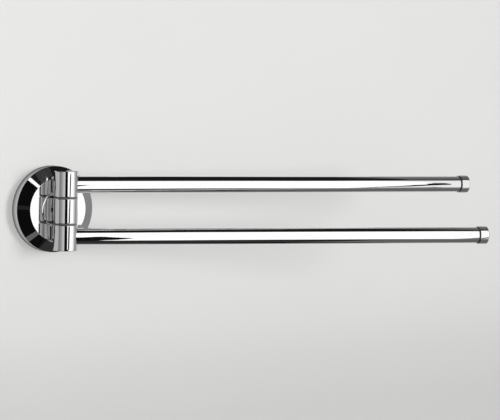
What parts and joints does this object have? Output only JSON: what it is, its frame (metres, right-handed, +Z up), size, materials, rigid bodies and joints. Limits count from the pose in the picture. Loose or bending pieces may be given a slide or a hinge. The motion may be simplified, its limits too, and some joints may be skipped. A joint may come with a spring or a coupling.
{
  "type": "swing arm towel bar",
  "caption": "Wall-mounted towel bar: slim round arms swing sideways on an upright barrel that a short post holds in front of a round wall cover.",
  "frame": {"origin": "middle of the wall cover's back, on the wall plane", "axes": "+Y into the wall, +Z up, +X along the arms at rest"},
  "size_m": [0.3548, 0.1227, 0.062],
  "materials": {
    "chrome_plate": "polished chrome plate",
    "satin_steel": "turned stainless steel",
    "spring_steel": "hardened spring strip",
    "zinc_casting": "machined zinc casting",
    "bronze": "sintered bronze",
    "dark_nylon": "moulded nylon",
    "black_oxide": "blackened screw steel"
  },
  "bodies": {
    "wall_mount": {"wall_bracket": "zinc_casting", "flange_cover": "chrome_plate", "cover_grub_screw": "black_oxide", "post": "chrome_plate", "post_screw": "satin_steel", "post_spring_washer": "spring_steel", "centre_knuckle": "chrome_plate", "pivot_pin": "satin_steel", "pin_lock_screw": "black_oxide", "upper_friction_washer": "dark_nylon", "upper_wave_washer": "spring_steel", "upper_thrust_washer": "satin_steel", "upper_retaining_screw": "satin_steel", "lower_friction_washer": "dark_nylon", "lower_wave_washer": "spring_steel", "lower_thrust_washer": "satin_steel", "lower_retaining_screw": "satin_steel"},
    "upper_arm": {"upper_knuckle": "chrome_plate", "upper_bush": "bronze", "upper_barrel_cap": "chrome_plate", "upper_spigot": "satin_steel", "upper_tube": "chrome_plate", "upper_end_cap": "chrome_plate"},
    "lower_arm": {"lower_knuckle": "chrome_plate", "lower_bush": "bronze", "lower_barrel_cap": "chrome_plate", "lower_spigot": "satin_steel", "lower_tube": "chrome_plate", "lower_end_cap": "chrome_plate"}
  },
  "joints": [
    {"name": "upper_swing", "type": "hinge", "parent": "wall_mount", "child": "upper_arm", "pos_m": [0, -0.022, 0], "axis": [0, 0, -1], "range_deg": [-10.6, 169.4]},
    {"name": "lower_swing", "type": "hinge", "parent": "wall_mount", "child": "lower_arm", "pos_m": [0, -0.022, 0], "axis": [0, 0, -1], "range_deg": [-16.7, 163.3]}
  ]
}
